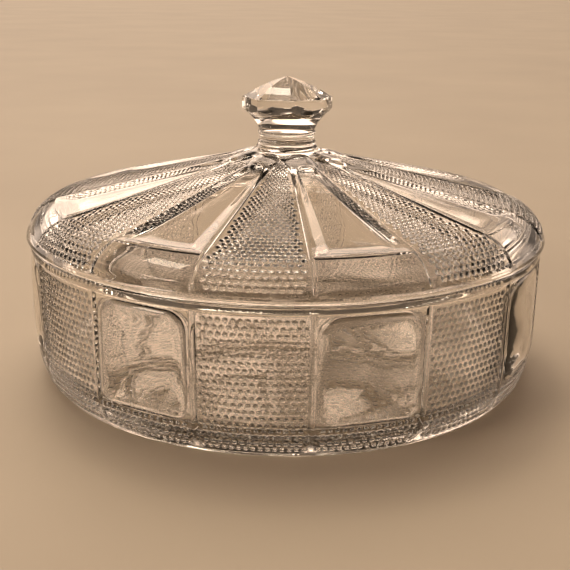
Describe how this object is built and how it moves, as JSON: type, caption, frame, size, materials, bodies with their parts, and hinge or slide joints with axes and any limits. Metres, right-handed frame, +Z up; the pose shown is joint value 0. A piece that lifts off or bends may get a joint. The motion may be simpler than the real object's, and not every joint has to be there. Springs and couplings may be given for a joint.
{
  "type": "covered candy dish",
  "caption": "Round pressed-glass candy dish with upright panelled sides, alternately stippled and plain, and a low conical lid with a faceted knob that lifts straight off.",
  "frame": {"origin": "centre of the foot's underside, on the table", "axes": "+Z up along the dish's axis and the way the lid lifts, -Y out of the middle of a stippled panel"},
  "size_m": [0.172, 0.172, 0.0964],
  "materials": {
    "clear_glass": "pressed and fire-polished, clear"
  },
  "bodies": {
    "bowl": {"bowl": "clear_glass"},
    "lid": {"lid": "clear_glass"}
  },
  "joints": [
    {"name": "lid_lift", "type": "slide", "parent": "bowl", "child": "lid", "axis": [0, 0, 1], "range_m": [0, 0.06]}
  ]
}
